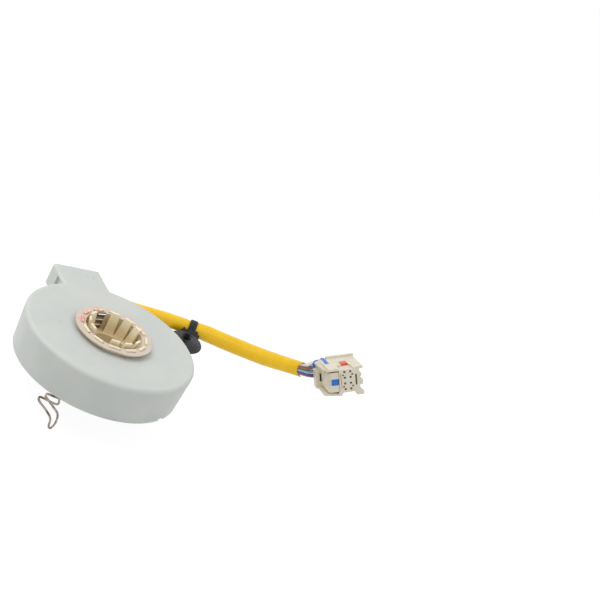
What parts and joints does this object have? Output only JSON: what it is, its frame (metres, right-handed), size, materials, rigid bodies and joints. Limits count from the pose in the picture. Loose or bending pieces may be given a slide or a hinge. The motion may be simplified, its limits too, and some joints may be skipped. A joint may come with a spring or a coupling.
{
  "type": "power steering torque sensor",
  "caption": "Round steering column torque sensor with a gripping hub, a side cable tower, a sleeved lead with a tie foot and a square plug, and a wire clip below.",
  "frame": {"origin": "on the rotor axis, in the plane of the housing's rear face", "axes": "+Z along the rotor axis out of the face with the staked ring, +Y towards the cable tower, +X the side on which the harness leaves"},
  "size_m": [0.2091, 0.1061, 0.0468],
  "materials": {
    "nylon_shell": "translucent pale greenish white nylon",
    "nylon_cover": "pale nylon",
    "hub_cream": "cream moulded plastic",
    "hub_brown": "brown moulded plastic",
    "board_pink": "bare pinkish board",
    "spring_steel": "formed strip",
    "board_tan": "board with carbon tracks",
    "contact_metal": "spring contact",
    "tin_plate": "tinned pins",
    "zinc_steel": "zinc plated",
    "ribbon_film": "flat flexible cable",
    "block_grey": "moulded",
    "grommet_rubber": "matt rubber",
    "clip_wire": "dull brownish wire",
    "sleeve_yellow": "soft vinyl sleeve",
    "tie_black": "black nylon",
    "connector_ivory": "ivory moulded plastic",
    "lock_blue": "blue moulded plastic",
    "lock_red": "red moulded plastic",
    "wire_white": "vinyl insulation",
    "wire_yellow": "vinyl insulation",
    "wire_brown": "vinyl insulation",
    "wire_red": "vinyl insulation",
    "wire_blue": "vinyl insulation",
    "wire_green": "vinyl insulation",
    "wire_violet": "vinyl insulation",
    "wire_black": "vinyl insulation"
  },
  "bodies": {
    "housing_body": {"housing": "nylon_shell", "rear_cover": "nylon_cover", "position_board": "board_tan", "board_screws": "zinc_steel", "ribbon_coil": "ribbon_film", "terminal_block": "block_grey", "terminal_pins": "tin_plate", "tower_hatch": "nylon_cover", "cable_grommet": "grommet_rubber", "wire_retaining_clip": "clip_wire", "harness_sleeve": "sleeve_yellow", "cable_tie": "tie_black", "wire_white": "wire_white", "wire_yellow": "wire_yellow", "wire_brown": "wire_brown", "wire_red": "wire_red", "wire_blue": "wire_blue", "wire_green": "wire_green", "wire_violet": "wire_violet", "wire_black": "wire_black", "connector_housing": "connector_ivory", "contact_terminals": "tin_plate"},
    "input_rotor": {"input_hub": "hub_cream", "retaining_ring": "board_pink", "index_key_spring": "spring_steel", "torque_track_board": "board_tan", "position_wipers": "contact_metal"},
    "output_rotor": {"output_hub": "hub_brown", "torque_wipers": "contact_metal"},
    "red_lock": {"position_lock": "lock_red"},
    "blue_lock": {"terminal_lock": "lock_blue"}
  },
  "joints": [
    {"name": "steering_turn", "type": "hinge", "parent": "housing_body", "child": "input_rotor", "pos_m": [0, 0, 0.012], "axis": [0, 0, 1], "range_deg": [-540, 540]},
    {"name": "torque_twist", "type": "hinge", "parent": "input_rotor", "child": "output_rotor", "pos_m": [0, 0, 0.003], "axis": [0, 0, 1], "range_deg": [-6.5, 6.5]},
    {"name": "position_lock_push", "type": "slide", "parent": "housing_body", "child": "red_lock", "axis": [-0.3541, -0.8871, 0.296], "range_m": [0, 0.0025]},
    {"name": "terminal_lock_pull", "type": "slide", "parent": "housing_body", "child": "blue_lock", "axis": [0.3541, 0.8871, -0.296], "range_m": [0, 0.0015]}
  ]
}
